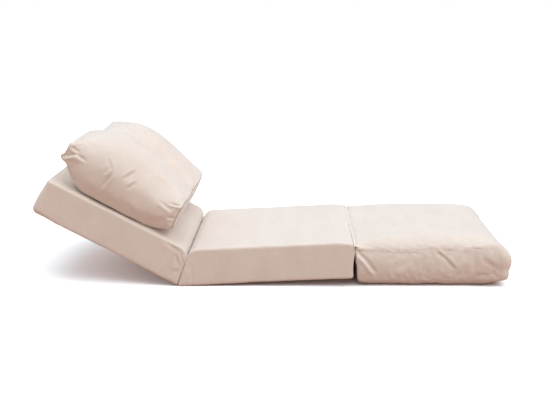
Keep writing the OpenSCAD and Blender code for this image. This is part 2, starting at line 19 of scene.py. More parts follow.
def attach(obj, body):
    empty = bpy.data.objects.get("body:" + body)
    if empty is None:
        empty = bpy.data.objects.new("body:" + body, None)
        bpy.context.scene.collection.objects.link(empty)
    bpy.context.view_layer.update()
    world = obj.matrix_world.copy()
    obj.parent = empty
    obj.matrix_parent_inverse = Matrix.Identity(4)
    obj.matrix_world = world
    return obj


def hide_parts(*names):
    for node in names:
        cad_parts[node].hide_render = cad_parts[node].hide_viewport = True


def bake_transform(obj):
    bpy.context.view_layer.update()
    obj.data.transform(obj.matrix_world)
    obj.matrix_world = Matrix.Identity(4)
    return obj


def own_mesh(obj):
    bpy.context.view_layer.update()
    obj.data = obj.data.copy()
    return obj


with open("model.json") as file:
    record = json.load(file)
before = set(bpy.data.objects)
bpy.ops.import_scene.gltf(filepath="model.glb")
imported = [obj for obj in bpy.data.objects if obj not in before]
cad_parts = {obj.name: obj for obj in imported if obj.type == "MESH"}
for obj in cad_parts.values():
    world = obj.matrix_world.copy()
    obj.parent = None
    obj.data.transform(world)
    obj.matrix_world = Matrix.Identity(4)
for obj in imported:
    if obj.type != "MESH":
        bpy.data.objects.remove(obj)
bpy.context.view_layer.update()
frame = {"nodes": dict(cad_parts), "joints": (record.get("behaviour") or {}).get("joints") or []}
joints = {joint["name"]: joint for joint in frame["joints"]}

# %% [markdown]
# ## Sizes and the frames of the sections
#
# Every section is shaped in its own upright frame, with x running away from its hinge, and
# only then turned into place. The seat is tipped up a little because the thicker foot
# section lifts its front. The backrest is the seat's form, mirrored and turned about the
# recline axis. All sizes are metres.

# %% Sizes
WIDTH = 0.711
SEAT_LENGTH = 0.645
BACK_LENGTH = 0.617
FOOT_LENGTH = 0.605
SLAB = 0.135
FOOT_CROWN = 0.168
RECLINE = math.radians(30.5)
PIVOT_HEIGHT = 0.072
HALF = WIDTH / 2
FLOOR_LEVEL = -0.006  # the soft undersides settle this far past the hard parts

# %% Frames of the sections
pivot = Vector(joints["recline"]["pos_m"])
fold = Vector(joints["foot_fold"]["pos_m"])
tilt = math.asin((FOOT_CROWN - SLAB) / SEAT_LENGTH)
slope = RECLINE - tilt
hinge_end = Vector((pivot.x + PIVOT_HEIGHT * math.sin(tilt), 0, 0))

seat_frame = Matrix.Translation(hinge_end) @ Matrix.Rotation(-tilt, 4, "Y")
lift_pivot = Matrix.Translation((0, 0, PIVOT_HEIGHT))
back_frame = (seat_frame @ lift_pivot @ Matrix.Rotation(RECLINE, 4, "Y")
              @ lift_pivot.inverted() @ Matrix.Scale(-1, 4, (1, 0, 0)))
foot_frame = Matrix.Translation((fold.x + 0.003, 0, 0))
print("seat tilt", round(math.degrees(tilt), 2), "backrest slope", round(math.degrees(slope), 2))

# %% [markdown]
# ## From a cube to a cushion
#
# A stuffed cover could be sculpted by hand, but a rule that can be measured is easier to
# repeat. Each cushion starts as a cube that `subdivide_edges` cuts into even squares. The
# rule, `form`, says of any point how far outside the cushion it lies. Every vertex then
# slides along a straight line from a core inside the cushion until the rule says zero.

# %% A cube cut into even squares
def cut_block(low, high, spacing):
    bm = bmesh.new()
    bmesh.ops.create_cube(bm, size=1.0)
    size = [b - a for a, b in zip(low, high)]
    for axis in range(3):
        across = [e for e in bm.edges if abs(e.verts[0].co[axis] - e.verts[1].co[axis]) > 0.9]
        cuts = max(1, round(size[axis] / spacing) - 1)
        bmesh.ops.subdivide_edges(bm, edges=across, cuts=cuts, use_grid_fill=True)
    middle = Vector([(a + b) / 2 for a, b in zip(low, high)])
    place = Matrix.Translation(middle) @ Matrix.Diagonal((*size, 1))
    bmesh.ops.transform(bm, matrix=place, verts=bm.verts)
    return bm

# %% Slide the vertices onto a form
HALVINGS = 26


def slide_to_form(bm, form, core_low, core_high, reach=1.3):
    """Halve the way between the core and the cube until each vertex lies on the form."""
    points = np.array([v.co for v in bm.verts])
    core = np.clip(points, core_low, core_high)
    near, far = np.zeros(len(points)), np.full(len(points), reach)
    for _ in range(HALVINGS):
        half = (near + far) / 2
        outside = form((core + (points - core) * half[:, None]).T) > 0
        far = np.where(outside, half, far)
        near = np.where(outside, near, half)
    points = core + (points - core) * near[:, None]
    for v, p in zip(bm.verts, points):
        v.co = p

# %% Two faces that meet on a round edge
def round_edge(a, b, radius):
    """The larger of two distances, with a round edge where both are near zero."""
    both = np.hypot(np.maximum(a + radius, 0), np.maximum(b + radius, 0))
    return both - radius + np.minimum(np.maximum(a, b) + radius, 0)


def ramp(value, start, end):
    t = np.clip((value - start) / (end - start), 0, 1)
    return t * t * (3 - 2 * t)

# %% Turn a bmesh into a piece
def new_piece(name, bm):
    mesh = bpy.data.meshes.new(name)
    bmesh.ops.recalc_face_normals(bm, faces=bm.faces)
    bm.to_mesh(mesh)
    bm.free()
    mesh.shade_smooth()
    obj = bpy.data.objects.new(name, mesh)
    bpy.context.collection.objects.link(obj)
    return obj


def points_of(obj):
    flat = np.empty(len(obj.data.vertices) * 3)
    obj.data.vertices.foreach_get("co", flat)
    return flat.reshape(-1, 3)


def normals_of(obj):
    flat = np.empty(len(obj.data.vertices) * 3)
    obj.data.vertex_normals.foreach_get("vector", flat)
    return flat.reshape(-1, 3)


def set_points(obj, points):
    obj.data.vertices.foreach_set("co", points.ravel())
    obj.data.update()

# %% [markdown]
# ## Blowing up the covers
#
# A cover is sewn a little larger than what fills it, so it swells between its seams and
# buckles beside them. Blender's Cloth does that: pressure from inside, no gravity, and the
# seams held by a vertex group. A cap on how far a point may move keeps the size true. One
# subdivision afterwards smooths the result.

# %% Blow up a cover
CLOTH_STEPS = 20
WEAKEST_HOLD = 0.02


def inflate(obj, hold, pressure, growth, cap):
    start = points_of(obj)
    held = obj.vertex_groups.new(name="held seams")
    for index in np.nonzero(hold > WEAKEST_HOLD)[0]:
        held.add([int(index)], float(min(1, hold[index])), "REPLACE")
    cloth = obj.modifiers.new("swell", "CLOTH")
    cloth.settings.use_pressure = True
    cloth.settings.uniform_pressure_force = pressure
    cloth.settings.effector_weights.gravity = 0
    cloth.settings.vertex_group_mass = held.name
    cloth.settings.shrink_min = -growth
    cloth.settings.quality = 4
    cloth.settings.bending_stiffness = 0.3
    for step in range(1, CLOTH_STEPS + 1):
        bpy.context.scene.frame_set(step)
    solved = obj.evaluated_get(bpy.context.evaluated_depsgraph_get())
    flat = np.empty(len(start) * 3)
    solved.data.vertices.foreach_get("co", flat)
    move = flat.reshape(-1, 3) - start
    length = np.linalg.norm(move, axis=1, keepdims=True) + 1e-9
    move *= cap * np.tanh(length / cap) / length
    obj.modifiers.remove(cloth)
    obj.vertex_groups.remove(held)
    bpy.context.scene.frame_set(1)
    set_points(obj, start + move)
    print(obj.name, "swelled by at most", round(float(np.abs(move).max()) * 1000, 1), "mm")


def subdivide_once(obj):
    obj.modifiers.new("smooth", "SUBSURF").levels = 1
    solved = obj.evaluated_get(bpy.context.evaluated_depsgraph_get())
    smooth = bpy.data.meshes.new_from_object(solved)
    obj.modifiers.clear()
    obj.data = smooth
    smooth.shade_smooth()

# %% [markdown]
# ## Creases
#
# A crease in soft cloth is a groove with a ridge thrown up beside it, fading out at both
# ends. Each one is given by its two ends on the cushion, its depth and its width, so the
# creases of the real covers can be set one by one. Sculpting them by hand would look as
# good, but could not be repeated when a cushion changes its size.

# %% Press creases into a cover
def press_creases(obj, creases):
    points, normals = points_of(obj), normals_of(obj)
    lift = np.zeros(len(points))
    for start, end, depth, width in creases:
        start, line = np.array(start), np.array(end) - np.array(start)
        length = np.linalg.norm(line)
        line /= length
        offset = points - start
        along = offset @ line
        away = offset - along[:, None] * line
        side = np.cross(normals, line)
        across = np.sum(away * side, axis=1)
        gap = np.linalg.norm(away, axis=1)
        fade = ramp(along, -0.1 * length, 0.35 * length)
        fade *= 1 - ramp(along, 0.65 * length, 1.1 * length)
        fade *= gap < width * 5
        groove = np.exp(-(across / width) ** 2)
        ridge = np.exp(-((across - 1.7 * width) / (1.1 * width)) ** 2)
        lift += depth * fade * (0.7 * ridge - groove)
    set_points(obj, points + normals * lift[:, None])


# %% Dents, level places and the floor
PUCKER_SIZE, PUCKER_HEIGHT = 0.016, 0.0022
SEAM_REACH = 0.020


def dent_softly(obj, size, height, seam_gap):
    """Loose filling: shallow humps and hollows, and small puckers beside the seams."""
    points, normals = points_of(obj), normals_of(obj)
    humps = np.array([soft_noise.noise(Vector(p) / size) for p in points])
    puckers = np.array([soft_noise.noise(Vector(p) / PUCKER_SIZE) for p in points])
    gap = np.abs(seam_gap)
    near_seam = np.exp(-(gap / SEAM_REACH) ** 2) * ramp(gap, 0.0, 0.006)
    lift = height * humps * ramp(gap, 0.0, SEAM_REACH) + PUCKER_HEIGHT * puckers * near_seam
    set_points(obj, points + normals * lift[:, None])


def lay_flat(obj, axis, plane, centre, reach):
    """Draw the cover level where a zip is sewn into it."""
    points = points_of(obj)
    gap = np.abs(points - np.array(centre)) / np.array(reach)
    near = np.prod(1 - ramp(gap, 0.85, 1.6), axis=1)
    points[:, axis] += near * (plane - points[:, axis])
    set_points(obj, points)


def settle_on_floor(obj):
    """Flatten whatever of a placed cushion would hang below the floor."""
    points = points_of(obj)
    points[:, 2] = np.maximum(points[:, 2], FLOOR_LEVEL)
    set_points(obj, points)


# %% Values kept on the vertices
def attribute_of(obj, name):
    values = np.empty(len(obj.data.vertices), dtype=np.float32)
    obj.data.attributes[name].data.foreach_get("value", values)
    return values


def set_attribute(obj, name, values):
    layer = obj.data.attributes.new(name, "FLOAT", "POINT")
    layer.data.foreach_set("value", values.astype(np.float32))

# %% [markdown]
# ## Microsuede
#
# The covers are polyester microsuede: a dense, short, brushed pile with no visible weave.
# It could be a plain colour, but real suede shows lighter and darker strokes where the pile
# lies one way or the other, so slow noise shifts the tone and a stretched noise brushes
# it. Fine noise roughens the surface by bump, and a cool sheen lights the pile at grazing
# angles, so the tops look paler and cooler than the sides. Seams are drawn from attributes
# that hold the distance to the seam and the way along it: painted shade darkens the seam
# groove, and a dashed row of thread stitches runs beside it.

# %% Node helpers
def add_node(tree, kind, inputs=(), **settings):
    node = tree.nodes.new(kind)
    for name, value in settings.items():
        setattr(node, name, value)
    for name, value in dict(inputs).items():
        if isinstance(value, bpy.types.NodeSocket):
            tree.links.new(value, node.inputs[name])
        else:
            node.inputs[name].default_value = value
    return node


def calculate(tree, operation, *values):
    node = add_node(tree, "ShaderNodeMath", dict(enumerate(values)), operation=operation)
    return node.outputs[0]


def noise(tree, place, scale, detail=3.0, roughness=0.55):
    node = add_node(tree, "ShaderNodeTexNoise",
                    {"Vector": place, "Scale": scale, "Detail": detail, "Roughness": roughness})
    return node.outputs["Fac"]


def blend_colours(tree, amount, first, second):
    node = tree.nodes.new("ShaderNodeMix")
    node.data_type = "RGBA"
    sockets = node.inputs[0], node.inputs[6], node.inputs[7]
    for socket, value in zip(sockets, (amount, first, second)):
        if isinstance(value, bpy.types.NodeSocket):
            tree.links.new(value, socket)
        else:
            socket.default_value = value
    return node.outputs[2]

# %% The microsuede material
DARK_STROKE, PALE_STROKE = (0.757, 0.640, 0.555, 1), (0.825, 0.715, 0.640, 1)
# The seam colour is painted shade for the seam groove; the thread colour is the stitches' own.
SEAM_GROOVE_PAINTED_SHADE, THREAD_SHADE = (0.33, 0.22, 0.17, 1), (0.58, 0.45, 0.38, 1)
SEAM_WIDTH = 0.0022
STITCH_ROW, STITCH_LENGTH, THREAD_WIDTH = 0.006, 0.0045, 0.0007


def microsuede(name, with_seams):
    material = bpy.data.materials.new(name)
    material.use_nodes = True
    tree = material.node_tree
    shader = tree.nodes["Principled BSDF"]
    place = add_node(tree, "ShaderNodeTexCoord").outputs["Object"]
    brushing = add_node(tree, "ShaderNodeMapping", {"Vector": place, "Scale": (1.0, 0.35, 0.8)})
    brushed = brushing.outputs[0]
    cloud = noise(tree, brushed, 14.0, 4.0)
    stroke = noise(tree, brushed, 70.0, 3.0)
    fibre = noise(tree, place, 900.0, 2.0, 0.7)
    grain = noise(tree, place, 320.0, 2.0)
    pile = calculate(tree, "MULTIPLY_ADD", cloud, 0.65, calculate(tree, "MULTIPLY", stroke, 0.35))
    contrast = calculate(tree, "MULTIPLY_ADD", calculate(tree, "SUBTRACT", pile, 0.5), 2.2, 0.5)
    colour = blend_colours(tree, contrast, DARK_STROKE, PALE_STROKE)
    height = calculate(tree, "MULTIPLY_ADD", fibre, 0.5, calculate(tree, "MULTIPLY", grain, 0.5))
    height = calculate(tree, "MULTIPLY_ADD", stroke, 0.8, height)
    if with_seams:
        distance, along = [
            add_node(tree, "ShaderNodeAttribute", attribute_name=name).outputs["Fac"]
            for name in ("seam_distance", "seam_along")]
        gap = calculate(tree, "ABSOLUTE", distance)
        groove = calculate(tree, "SMOOTH_MIN", calculate(tree, "DIVIDE", gap, SEAM_WIDTH), 1.0, 0.3)
        beside = calculate(tree, "ABSOLUTE", calculate(tree, "SUBTRACT", distance, STITCH_ROW))
        step = calculate(tree, "FRACT", calculate(tree, "DIVIDE", along, STITCH_LENGTH))
        dash = calculate(tree, "GREATER_THAN", step, 0.35)
        row = calculate(tree, "LESS_THAN", beside, THREAD_WIDTH)
        thread = calculate(tree, "MULTIPLY", row, dash)
        # Painted shade: the colour turns dark towards the seam line, where shade falls in the groove.
        colour = blend_colours(tree, groove, SEAM_GROOVE_PAINTED_SHADE, colour)
        colour = blend_colours(tree, calculate(tree, "MULTIPLY", thread, 0.6), colour, THREAD_SHADE)
        height = calculate(tree, "MULTIPLY_ADD", groove, 2.5, height)
        height = calculate(tree, "SUBTRACT", height, thread)
    bump = add_node(tree, "ShaderNodeBump",
                    {"Height": height, "Strength": 0.45, "Distance": 0.0006})
    tree.links.new(colour, shader.inputs["Base Color"])
    tree.links.new(bump.outputs["Normal"], shader.inputs["Normal"])
    for name, value in {"Roughness": 0.92, "Specular IOR Level": 0.18, "Sheen Weight": 0.42,
                        "Sheen Roughness": 0.45, "Sheen Tint": (0.80, 0.905, 1.0, 1)}.items():
        shader.inputs[name].default_value = value
    return material


suede = microsuede("microsuede", False)
seamed_suede = microsuede("microsuede with seams", True)
print("materials", suede.name, "and", seamed_suede.name)

# %% [markdown]
# ## Where the seat meets the backrest
#
# The two foam slabs press against each other at the recline hinge, and their covers meet
# on one leaning plane with rounded shoulders above it. On the real chair both covers bend
# with the hinge; here both are given the same plane, at the rest angle.

# %% The joint plane
JOINT_LEAN = math.radians(22.5)
joint_spot = Vector((-0.0045, 0, 0.0723))


def joint_edge(z, sign):
    """Where a slab ends at the given height: sign 1 for the seat, -1 for the backrest."""
    if sign > 0:
        return joint_spot.x + (z - joint_spot.z) * math.tan(JOINT_LEAN)
    return 0.004 + (z - 0.070) * math.tan(RECLINE - JOINT_LEAN)

# %% [markdown]
# ## The two foam slabs
#
# The seat and the backrest are flat foam slabs in tight covers, so they get one form with a
# few sizes of their own: a low crown, a sagging underside, sides drawn in between their
# corners, and rounded edges. A bevelled cube would do for the edges, but not for the crown
# and the leaning joint plane.

# %% The form of a foam slab
ZIP_FROM_END = 0.070
FRONT_SEAM = 0.6495


def slab_form(length, sign, edge_top, crown_rise, sag, joint_sag, shoulder_radius):
    """Sign 1 is the seat and -1 the backrest; each has small sizes of its own."""
    def form(point):
        x, y, z = point
        crown = crown_rise * (1 - np.clip(np.abs(y) / HALF, 0, 1) ** 2.5)
        near_joint = 1 - ramp(x, 0.05, 0.25)
        drawn_in = 0.004 * (1 - np.clip(np.abs(2 * x / length - 1), 0, 1) ** 2)
        if sign > 0:
            fall = 0.009 * ramp(x, length - 0.060, length + 0.020) + 0.0030 * y / HALF
            lean = -0.0095 * ramp(z, 0.02, 0.11)
            plan_radius, low_radius = 0.012, 0.009
        else:
            fall = 0.0
            lean = 0.007 * ramp(z, 0.05, 0.135) - 0.002
            plan_radius, low_radius = 0.019, 0.011 + 0.014 * ramp(x, length - 0.12, length - 0.02)
        top = z - (edge_top + crown - fall)
        low = -z - (sag + joint_sag * near_joint)
        side = np.abs(y) - (HALF - drawn_in)
        front = x - length + lean
        start = joint_edge(z, sign) + 0.0006 - x
        plan = round_edge(side, front, plan_radius)
        body = np.maximum(round_edge(plan, top, 0.008), round_edge(plan, low, low_radius))
        shoulder = round_edge(start, top, shoulder_radius)
        corner = round_edge(np.maximum(start, low), side, 0.006)
        return np.maximum(np.maximum(body, shoulder), corner)
    return form


PAD_SPACING = 0.0095


def make_slab(name, length, sign, *shape):
    low, high = (-0.07, -HALF - 0.01, -0.03), (length + 0.01, HALF + 0.01, SLAB + 0.02)
    bm = cut_block(low, high, PAD_SPACING)
    core = 0.045
    slide_to_form(bm, slab_form(length, sign, *shape),
                  (core + 0.02, -HALF + core, 0.055), (length - core, HALF - core, 0.075))
    return new_piece(name, bm)


# %% Cut the seat
seat_pad = make_slab("seat_pad", SEAT_LENGTH, 1, 0.1380, 0.001, 0.005, 0.001, 0.030)
print("seat pad", len(seat_pad.data.vertices), "vertices")

# %% Stuff a slab
def stuff_slab(obj, length):
    """Swell and dent a slab, but hold it still at the joint and level at its zip."""
    near_joint = 1 - ramp(points_of(obj)[:, 0], 0.02, 0.10)
    inflate(obj, 0.35 + 0.6 * near_joint, 1.5, 0.004, 0.004)
    subdivide_once(obj)
    dent_softly(obj, 0.11, 0.0018, points_of(obj)[:, 0] - 0.02)
    lay_flat(obj, 2, -0.0006, (length - ZIP_FROM_END, 0, 0), (0.018, 0.235, 0.02))

# %% Finish the seat
points = points_of(seat_pad)
on_top = points[:, 2] > 0.10
set_attribute(seat_pad, "seam_distance", np.where(on_top, points[:, 0] - FRONT_SEAM, 1.0))
set_attribute(seat_pad, "seam_along", points[:, 1])
stuff_slab(seat_pad, SEAT_LENGTH)
seat_pad.data.transform(seat_frame)
settle_on_floor(seat_pad)
seat_pad.data.materials.append(seamed_suede)
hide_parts("seat_cover", "seat_wadding", "seat_foam_lower", "seat_foam_upper",
            "recline_gusset")
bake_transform(seat_pad)

# %% The backrest
back_pad = make_slab("back_pad", BACK_LENGTH, -1, SLAB + 0.001, 0.005, 0.008, 0.003, 0.040)
stuff_slab(back_pad, BACK_LENGTH)
press_creases(back_pad, [((0.026, -0.355, 0.066), (0.054, -0.354, 0.103), 0.0035, 0.0060),
                         ((0.014, -0.355, 0.078), (0.040, -0.354, 0.112), 0.0030, 0.0055),
                         ((0.034, -0.352, 0.117), (0.135, -0.345, 0.130), 0.0030, 0.0080),
                         ((0.012, -0.355, 0.055), (0.030, -0.355, 0.030), 0.0020, 0.0070)])
back_pad.data.transform(back_frame)
back_pad.data.flip_normals()
settle_on_floor(back_pad)
back_pad.data.materials.append(suede)
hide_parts("back_cover", "back_wadding", "back_foam_front", "back_foam_rear")
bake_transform(back_pad)

# %% [markdown]
# ## The foot section
#
# The foot section is a boxed cushion: a top and a bottom panel sewn to a side band, with
# softer filling than the slabs. Its side band bulges, its panels dome up from the seams,
# and its outer corners stand up a little off the floor. Sewing flat panels together in Cloth
# could make it too, but a form keeps the seams just where the real ones run.

# %% The seams and the form of the boxed cushion
EDGE_TOP, DOME = 0.166, 0.016
FOOT_END = FOOT_LENGTH - 0.016
REAR_LEAN = 0.006
REAR_LIP = 0.0015
REAR_HOLLOW = 0.0105


def toward_corner(x, y):
    return np.clip((x - 0.25) / 0.33, 0, 1) ** 1.6 * np.clip(np.abs(y) / HALF, 0, 1) ** 3


def high_seam(x, y):
    return 0.137 + 0.024 * toward_corner(x, y) + 0.004 * np.exp(-(x / 0.04) ** 2)


def low_seam(x, y):
    return 0.021 + 0.032 * toward_corner(x, y)


def crown_height(x, y):
    lengthwise = 1 - np.clip(np.abs(x - 0.33) / 0.33, 0, 1) ** 2.2
    return EDGE_TOP + DOME * lengthwise * (1 - 0.5 * np.clip(np.abs(y) / HALF, 0, 1) ** 4)


def foot_form(point):
    x, y, z = point
    high, low, crown = high_seam(x, y), low_seam(x, y), crown_height(x, y)
    down = np.clip((high - z) / (high - low), 0, 1.2)
    rear = REAR_LEAN * down - REAR_LIP * ramp(z, 0.08, 0.13) - x
    rear = rear + REAR_HOLLOW * (1 - np.clip(np.abs(y) / HALF, 0, 1) ** 8) * (1 - ramp(z, 0.10, 0.13))
    side = np.abs(y) - (HALF - 0.006 - 0.004 * (1 - np.clip(np.abs(x / 0.30 - 1), 0, 1) ** 2))
    end = x - FOOT_END + 0.015 * (np.clip(z - 0.075, 0, 1) / 0.065) ** 2
    above = np.clip((z - high) / (crown - high), 0, 1)
    below = np.clip((low - z) / low, 0, 1)
    middle = np.clip((z - low) / (high - low), 0, 1)
    corner = toward_corner(x, y)
    swell = 0.007 + 0.009 * ramp(x, 0.45, 0.60)
    bulge = np.maximum(np.sin(np.pi * middle) ** 0.8, 0.65 * corner * (1 - middle))
    draw_top = 0.070 * (1 - (1 - above ** 1.6) ** (1 / 2.8))
    draw_low = (0.036 - 0.008 * corner) * (1 - (1 - below ** 1.5) ** (1 / 2.0))
    walls = round_edge(side, end, 0.030 - 0.012 * ramp(y, 0, HALF))
    outer = walls + draw_top + draw_low + 0.003 - swell * bulge
    plan = round_edge(outer, rear + 0.15 * draw_top + draw_low, 0.012)
    floor_lift = 0.036 * ramp(x, 0.42, 0.62) * (0.2 + 0.8 * np.clip(np.abs(y) / HALF, 0, 1) ** 3)
    return np.maximum(plan, np.maximum(z - crown, FLOOR_LEVEL + floor_lift - z))


# %% Cut the foot section and mark its seams
bm = cut_block((-0.01, -HALF - 0.01, -0.01), (FOOT_LENGTH + 0.01, HALF + 0.01, 0.195), PAD_SPACING)
slide_to_form(bm, foot_form,
              (0.07, -HALF + 0.06, 0.075), (FOOT_LENGTH - 0.06, HALF - 0.06, 0.085))
foot_pad = new_piece("foot_pad", bm)
points = points_of(foot_pad)
to_high = points[:, 2] - high_seam(points[:, 0], points[:, 1])
to_low = points[:, 2] - low_seam(points[:, 0], points[:, 1])
# The offsets make the painted shade in the seam grooves fainter, more so at the low seam.
faint_high, faint_low = np.abs(to_high) + 0.0003, np.abs(to_low) + 0.0013
set_attribute(foot_pad, "seam_distance", np.minimum(faint_high, faint_low))
set_attribute(foot_pad, "seam_along", points[:, 0] + points[:, 1])
seam_hold = np.exp(-(to_high / 0.006) ** 2) + np.exp(-(to_low / 0.006) ** 2)
print("foot section", len(foot_pad.data.vertices), "vertices")

# %% Stuff, crease and hang the foot section
inflate(foot_pad, 0.15 + 0.8 * seam_hold, 3.0, 0.012, 0.008)
subdivide_once(foot_pad)
dent_softly(foot_pad, 0.085, 0.0026, attribute_of(foot_pad, "seam_distance"))
ZIP_HEIGHT = 0.080
zip_plane = 0.0112 + 0.165 * (ZIP_HEIGHT - points_of(foot_pad)[:, 2])
lay_flat(foot_pad, 0, zip_plane, (0.010, 0, ZIP_HEIGHT), (0.020, 0.235, 0.018))
press_creases(foot_pad, [((0.082, -0.352, 0.048), (0.038, -0.352, 0.105), 0.0065, 0.0075),
                         ((0.052, -0.352, 0.090), (-0.004, -0.346, 0.144), 0.0075, 0.0070),
                         ((0.000, -0.345, 0.139), (0.034, -0.347, 0.132), 0.0030, 0.0050),
                         ((0.307, -0.345, 0.135), (0.346, -0.350, 0.106), 0.0045, 0.0060),
                         ((0.338, -0.349, 0.113), (0.384, -0.351, 0.064), 0.0040, 0.0065),
                         ((0.210, -0.351, 0.100), (0.150, -0.352, 0.060), 0.0025, 0.0120),
                         ((0.480, -0.351, 0.110), (0.540, -0.348, 0.070), 0.0025, 0.0110),
                         ((0.585, 0.200, 0.120), (0.594, 0.150, 0.060), 0.0045, 0.0080),
                         ((0.585, -0.120, 0.125), (0.594, -0.160, 0.060), 0.0045, 0.0080),
                         ((0.345, 0.347, 0.130), (0.300, 0.350, 0.075), 0.0050, 0.0070),
                         ((0.080, 0.350, 0.060), (0.020, 0.350, 0.125), 0.0050, 0.0070)])
foot_pad.data.transform(foot_frame)
settle_on_floor(foot_pad)
foot_pad.data.materials.append(seamed_suede)
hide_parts("foot_cover", "foot_wadding", "foot_foam")
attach(foot_pad, "foot")
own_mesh(foot_pad)

# %% [markdown]
# ## The web of the foot hinge
#
# The foot section hangs on a strip of its own cover, sewn across the top of the seat's
# front edge. The real strip is thin enough to fold flat; here it is a narrow bridge, arched
# a little, between the two sections. Its two long edges go down into the sections, where the
# real one is sewn in.

# %% The fold web
web_half, web_reach, web_thick = HALF - 0.012, 0.014, 0.0014
bm = cut_block((-web_reach, -web_half, -web_thick / 2), (web_reach, web_half, web_thick / 2), 0.004)
for v in bm.verts:
    t = v.co.x / web_reach
    drop = 0.012 + 0.010 * abs(v.co.y / web_half) ** 8
    v.co.z -= drop - 0.003 * (1 - t * t)
fold_web = new_piece("fold_web", bm)
fold_web.data.transform(Matrix.Translation(fold))
fold_web.data.materials.append(suede)
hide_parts("fold_strip")
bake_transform(fold_web)

# %% [markdown]
# ## The steel and the zips
#
# The frame and the ratchet hinges are hidden inside the pads, but they show when a pad is
# taken off, so they get a finish as well. Tubes are black powder coat: slightly pebbled,
# half gloss. Hinge plates are zinc-plated: bright, faintly brushed metal. The zips are
# woven nylon tape with a rib every 3 mm. One function makes all three, because they differ
# in colour, gloss and grain alone.

# %% Finishes of the hidden pieces
def plain_finish(name, colours, metallic, roughness, scale, depth):
    material = bpy.data.materials.new(name)
    material.use_nodes = True
    tree = material.node_tree
    shader = tree.nodes["Principled BSDF"]
    place = add_node(tree, "ShaderNodeTexCoord").outputs["Object"]
    fine = noise(tree, place, scale, 3.0)
    worn = noise(tree, place, scale / 12, 4.0)
    tree.links.new(blend_colours(tree, worn, *colours), shader.inputs["Base Color"])
    bump = add_node(tree, "ShaderNodeBump", {"Height": fine, "Strength": 0.4, "Distance": depth})
    tree.links.new(bump.outputs["Normal"], shader.inputs["Normal"])
    shader.inputs["Metallic"].default_value = metallic
    shader.inputs["Roughness"].default_value = roughness
    return material


powder_coat = plain_finish("black powder coat", ((0.018, 0.018, 0.02, 1), (0.035, 0.035, 0.037, 1)),
                           0.0, 0.45, 900, 0.0002)
zinc_plate = plain_finish("zinc plate", ((0.55, 0.56, 0.58, 1), (0.68, 0.68, 0.69, 1)),
                          1.0, 0.32, 500, 0.0001)
zip_tape = plain_finish("zip tape", ((0.56, 0.46, 0.40, 1), (0.66, 0.55, 0.49, 1)),
                        0.0, 0.8, 1500, 0.0004)

# %% Ribs across the zip tape
RIB_SPACING, RIB_SHADE = 0.003, (0.30, 0.23, 0.19, 1)
tree = zip_tape.node_tree
place = add_node(tree, "ShaderNodeTexCoord").outputs["Object"]
across = add_node(tree, "ShaderNodeSeparateXYZ", {"Vector": place}).outputs["Y"]
step = calculate(tree, "FRACT", calculate(tree, "DIVIDE", across, RIB_SPACING))
rib = calculate(tree, "MULTIPLY", calculate(tree, "GREATER_THAN", step, 0.55), 0.35)
colour = tree.nodes["Principled BSDF"].inputs["Base Color"]
tree.links.new(blend_colours(tree, rib, colour.links[0].from_socket, RIB_SHADE), colour)
print("finishes", powder_coat.name + ",", zinc_plate.name, "and", zip_tape.name)

# %% [markdown]
# ## The pillows
#
# Each pillow is a tube of fabric with a small oval panel sewn into each end. The filling
# pushes the tube round in the middle, while the end panels stay small, so the corners
# stand out as dog ears and the cloth puckers towards them. The pillow is pressed flat
# where it lies on the backrest. Its form is a ring that is nearly an ellipse, whose top and
# bottom follow two curves from end to end.

# %% The form of a pillow
PILLOW_HALF_WIDTH = 0.1765
PILLOW_UNDER, PILLOW_OVER = 0.133, 0.1315
PILLOW_PRESS = 0.0395
LOW_END, HIGH_END = 0.061, 0.0335
CREST = 0.20
UPPER_END_LIFT = 0.041


def end_curve(x, y):
    """How far an end seam bows out of its flat plane."""
    across = np.clip(np.abs(y) / PILLOW_HALF_WIDTH, 0, 1)
    return np.where(x > 0, 0.002, 0.011) * (1 - across ** 2)


# %% Zips and corners of a pillow
def place_zip(node_name, body, shift):
    """Sew the zip of the CAD frame onto the drawn-in end panel of its pillow."""
    node = frame["nodes"][node_name]
    bm = bmesh.new()
    bm.from_mesh(node.data)
    bmesh.ops.remove_doubles(bm, verts=bm.verts, dist=0.000001)
    place = Matrix.Translation(back_frame.to_3x3() @ shift) @ node.matrix_world
    bmesh.ops.transform(bm, matrix=place, verts=bm.verts)
    tape = new_piece(node_name + "_sewn", bm)
    tape.data.shade_flat()
    tape.data.materials.append(zip_tape)
    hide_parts(node_name)
    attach(tape, body)


# which end, height of the corner, pull outwards, pull upwards, reach of the pull
EARS = ((1, 0.014, 0.017, -0.010, 0.024), (1, 0.066, 0.006, 0.004, 0.020),
        (-1, 0.048, -0.004, 0.004, 0.016), (-1, -0.046, -0.005, -0.004, 0.018))


def tug_corners(obj, half_length):
    """Pull the corners of the end panels out into dog ears."""
    points = points_of(obj)
    for end, z, pull_x, pull_z, reach in EARS:
        for side in (-1, 1):
            corner = np.array((end * half_length, side * (PILLOW_HALF_WIDTH - 0.008), z))
            near = np.exp(-np.sum((points - corner) ** 2, axis=1) / reach ** 2)
            points = points + near[:, None] * np.array((pull_x, side * 0.003, pull_z))
    set_points(obj, points)


